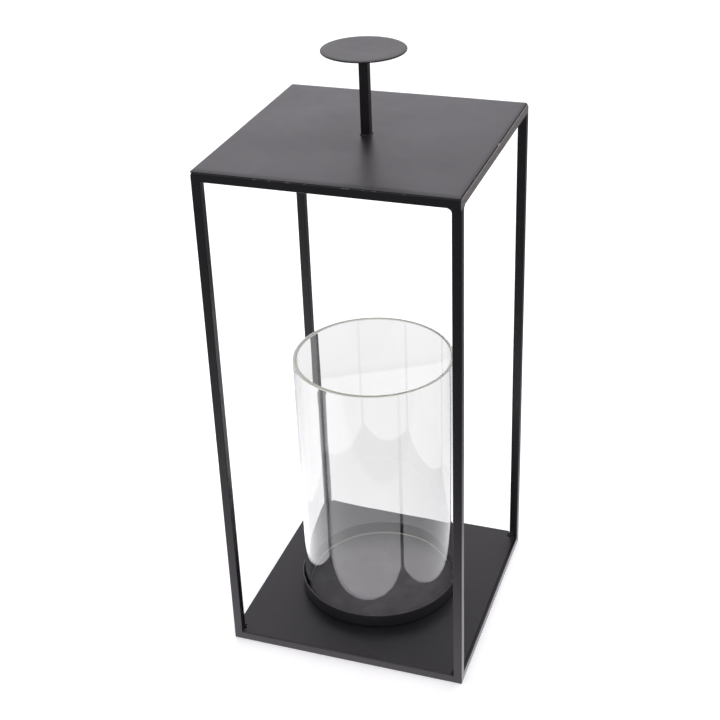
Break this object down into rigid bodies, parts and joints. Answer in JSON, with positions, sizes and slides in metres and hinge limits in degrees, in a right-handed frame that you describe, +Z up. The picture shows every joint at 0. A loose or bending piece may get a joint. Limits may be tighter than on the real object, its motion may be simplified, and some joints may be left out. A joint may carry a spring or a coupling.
{
  "type": "hurricane candle lantern",
  "caption": "Open square-bar frame with sheet top and base, T-shaped carrying handle, round tray and a loose glass cylinder that shields a candle from draughts.",
  "frame": {"origin": "centre of the square footprint, on the surface that the lantern stands on", "axes": "+Z up through the handle, +X to the right and -Y out of the front face"},
  "size_m": [0.17, 0.17, 0.4192],
  "materials": {
    "frame_black": "satin black powder coat on square steel bar",
    "sheet_black": "satin black powder coat on thin steel sheet",
    "handle_black": "satin black powder coat",
    "weld_black": "satin black powder coat over weld beads",
    "tray_black": "satin black powder coat on a spun dish",
    "clear_glass": "clear, faintly green, with a melted rim"
  },
  "bodies": {
    "lantern": {"post_front_left": "frame_black", "post_front_right": "frame_black", "post_back_left": "frame_black", "post_back_right": "frame_black", "top_bar_front": "frame_black", "top_bar_back": "frame_black", "top_bar_left": "frame_black", "top_bar_right": "frame_black", "bottom_bar_front": "frame_black", "bottom_bar_back": "frame_black", "bottom_bar_left": "frame_black", "bottom_bar_right": "frame_black", "top_sheet": "sheet_black", "base_sheet": "sheet_black", "handle_stem": "handle_black", "handle_disc": "handle_black", "handle_foot_weld": "weld_black", "handle_disc_weld": "weld_black", "top_corner_welds": "weld_black", "bottom_corner_welds": "weld_black", "top_sheet_tacks": "weld_black", "top_seam_tacks": "weld_black", "base_sheet_tacks": "weld_black", "tray": "tray_black"},
    "glass": {"glass_cylinder": "clear_glass"}
  },
  "joints": [
    {"name": "glass_lift", "type": "slide", "parent": "lantern", "child": "glass", "axis": [0, 0, 1], "range_m": [0, 0.1595]}
  ]
}
